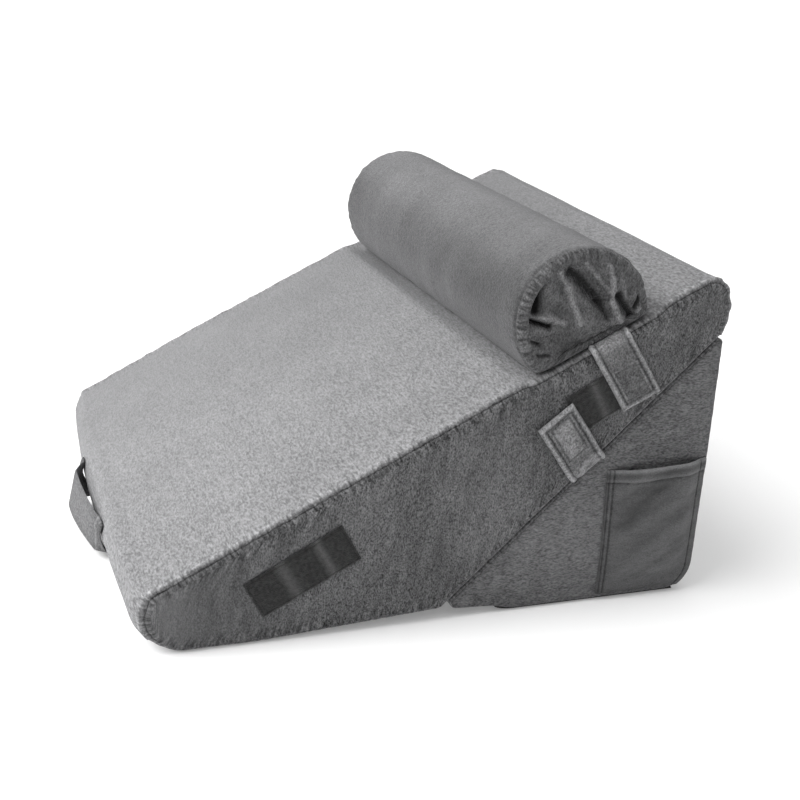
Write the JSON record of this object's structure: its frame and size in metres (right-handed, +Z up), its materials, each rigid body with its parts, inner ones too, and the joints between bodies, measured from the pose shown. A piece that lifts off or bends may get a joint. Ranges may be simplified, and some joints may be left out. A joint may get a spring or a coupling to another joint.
{
  "type": "bed wedge cushion set with head roll",
  "caption": "Back-rest cushion set: a long plush-covered foam wedge on a triangular base wedge, with a flat-bottomed head roll strapped across the slope, a side pocket and a handle.",
  "frame": {"origin": "middle of the bounding box's base, on the surface the set stands on", "axes": "+Z up; +X from the blunt nose to the upright back; +Y across the width, away from the side with the pocket and straps"},
  "size_m": [0.6534, 0.6184, 0.3964],
  "materials": {
    "plush": "short brushed plush, soft sheen along the pile",
    "smooth_cloth": "thin close-napped knit, darker and flatter than the plush",
    "loop_tape": "matt looped tape",
    "grip_cloth": "dark non-slip cloth"
  },
  "bodies": {
    "root": {"long_wedge": "plush", "base_wedge": "plush", "head_roll": "plush", "grip_cloth": "grip_cloth", "loop_tape_front": "loop_tape", "loop_tape_rear": "loop_tape", "roll_strap": "plush", "base_strap": "plush", "carry_handle": "plush", "side_pocket": "smooth_cloth"}
  },
  "joints": []
}
